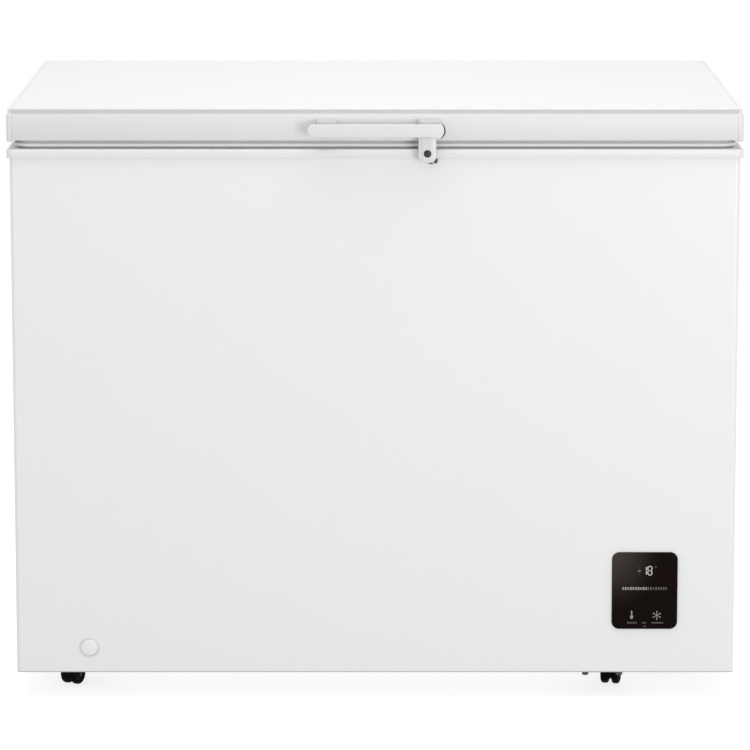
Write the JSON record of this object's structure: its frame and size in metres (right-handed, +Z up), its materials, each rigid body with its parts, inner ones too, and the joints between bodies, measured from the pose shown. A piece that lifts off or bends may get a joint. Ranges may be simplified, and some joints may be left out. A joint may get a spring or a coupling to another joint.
{
  "type": "chest freezer",
  "caption": "Free-standing chest freezer with a spring-balanced top lid, bar handle with lock, hanging wire basket, drain and swivel casters.",
  "frame": {"origin": "on the floor, under the middle of the bounding box", "axes": "+Z up, +X to the right seen from the front, -Y out of the front"},
  "size_m": [1.029, 0.71, 0.847],
  "materials": {
    "white_enamel": "smooth gloss enamel",
    "zinc_sheet": "galvanised, satin",
    "rail_steel": "galvanised, satin",
    "foam": "rigid foam",
    "liner_plastic": "smooth white",
    "trim_plastic": "smooth white",
    "handle_plastic": "smooth white",
    "tube_copper": "bare copper",
    "compressor_black": "black enamel",
    "soft_rubber": "soft black",
    "black_plastic": "fine grain",
    "panel_black": "polished",
    "hinge_steel": "zinc plated",
    "pin_steel": "ground",
    "spring_steel": "oiled",
    "plunger_plastic": "slippery",
    "caster_black": "black",
    "caster_plastic": "moulded",
    "wheel_black": "hard tread",
    "seal": "soft grey",
    "lens": "milky",
    "lock_dark": "dark plated",
    "lock_steel": "plated",
    "wire_white": "plastic-coated wire"
  },
  "bodies": {
    "cabinet": {"outer_wrap": "white_enamel", "back_panel": "zinc_sheet", "base_pan": "zinc_sheet", "base_rails": "rail_steel", "foam_insulation": "foam", "inner_liner": "liner_plastic", "collar_frame": "trim_plastic", "evaporator_coil": "tube_copper", "condenser_coil": "tube_copper", "compressor": "compressor_black", "compressor_grommets": "soft_rubber", "starter_box": "black_plastic", "refrigerant_pipes": "tube_copper", "filter_dryer": "tube_copper", "control_housing": "black_plastic", "control_glass": "panel_black", "side_grille": "trim_plastic", "rear_grille": "black_plastic", "drain_tube": "trim_plastic", "drain_bezel": "trim_plastic", "lock_keeper": "black_plastic", "hinge_brackets": "hinge_steel", "hinge_pins": "pin_steel", "hinge_covers": "trim_plastic", "hinge_springs": "spring_steel", "caster_plates": "caster_black", "caster_bolts": "caster_black", "cabinet_screws": "hinge_steel", "rear_spacers": "black_plastic", "cord_gland": "soft_rubber"},
    "lid": {"lid_skin": "white_enamel", "lid_cap_left": "trim_plastic", "lid_cap_right": "trim_plastic", "lid_liner": "liner_plastic", "lid_foam": "foam", "lid_gasket": "seal", "lamp_housing": "trim_plastic", "lamp_lens": "lens", "hinge_leaves": "hinge_steel", "handle": "handle_plastic", "lid_screws": "hinge_steel"},
    "lock": {"lock_barrel": "lock_dark", "lock_cam": "lock_steel"},
    "plungers": {"plunger_left": "plunger_plastic", "plunger_right": "plunger_plastic"},
    "basket": {"basket_rim": "wire_white", "basket_hoops": "wire_white", "basket_wires": "wire_white", "basket_hangers": "wire_white"},
    "spout": {"drain_spout": "trim_plastic"},
    "plug": {"drain_plug": "trim_plastic"},
    "swivel_front_left": {"caster_hood_front_left": "caster_plastic"},
    "wheels_front_left": {"caster_wheels_front_left": "wheel_black"},
    "swivel_front_right": {"caster_hood_front_right": "caster_plastic"},
    "wheels_front_right": {"caster_wheels_front_right": "wheel_black"},
    "swivel_rear_left": {"caster_hood_rear_left": "caster_plastic"},
    "wheels_rear_left": {"caster_wheels_rear_left": "wheel_black"},
    "swivel_rear_right": {"caster_hood_rear_right": "caster_plastic"},
    "wheels_rear_right": {"caster_wheels_rear_right": "wheel_black"}
  },
  "joints": [
    {"name": "lid_hinge", "type": "hinge", "parent": "cabinet", "child": "lid", "pos_m": [0, 0.338, 0.797], "axis": [-1, 0, 0], "range_deg": [0, 78]},
    {"name": "hinge_plungers", "type": "slide", "parent": "cabinet", "child": "plungers", "axis": [0, 0, 1], "range_m": [0, 0.00685], "deforming": ["hinge_springs"]},
    {"name": "lid_lock", "type": "hinge", "parent": "lid", "child": "lock", "pos_m": [0.0729, -0.33, 0.785], "axis": [0, 1, 0], "range_deg": [0, 90]},
    {"name": "basket_slide", "type": "slide", "parent": "cabinet", "child": "basket", "axis": [-1, 0, 0], "range_m": [0, 0.63]},
    {"name": "drain_spout_pull", "type": "slide", "parent": "cabinet", "child": "spout", "axis": [0, -1, 0], "range_m": [0, 0.025]},
    {"name": "drain_plug_lift", "type": "slide", "parent": "cabinet", "child": "plug", "axis": [0, 0, 1], "range_m": [0, 0.03]},
    {"name": "swivel_front_left", "type": "hinge", "parent": "cabinet", "child": "swivel_front_left", "pos_m": [-0.441, -0.24, 0.0327], "axis": [0, 0, 1], "continuous": true},
    {"name": "roll_front_left", "type": "hinge", "parent": "swivel_front_left", "child": "wheels_front_left", "pos_m": [-0.43677, -0.23205, 0.015], "axis": [0.8829, -0.4695, 0], "continuous": true},
    {"name": "swivel_front_right", "type": "hinge", "parent": "cabinet", "child": "swivel_front_right", "pos_m": [0.339, -0.24, 0.0327], "axis": [0, 0, 1], "continuous": true},
    {"name": "roll_front_right", "type": "hinge", "parent": "swivel_front_right", "child": "wheels_front_right", "pos_m": [0.34118, -0.23127, 0.015], "axis": [0.9703, -0.2419, 0], "continuous": true},
    {"name": "swivel_rear_left", "type": "hinge", "parent": "cabinet", "child": "swivel_rear_left", "pos_m": [-0.441, 0.24, 0.0327], "axis": [0, 0, 1], "continuous": true},
    {"name": "roll_rear_left", "type": "hinge", "parent": "swivel_rear_left", "child": "wheels_rear_left", "pos_m": [-0.4372, 0.23184, 0.015], "axis": [-0.9063, -0.4226, 0], "continuous": true},
    {"name": "swivel_rear_right", "type": "hinge", "parent": "cabinet", "child": "swivel_rear_right", "pos_m": [0.339, 0.24, 0.0327], "axis": [0, 0, 1], "continuous": true},
    {"name": "roll_rear_right", "type": "hinge", "parent": "swivel_rear_right", "child": "wheels_rear_right", "pos_m": [0.3345, 0.23221, 0.015], "axis": [-0.866, 0.5, 0], "continuous": true}
  ],
  "couplings": [
    {"joint": "hinge_plungers", "follows": "lid_hinge", "m_per_rad": 0.005}
  ]
}
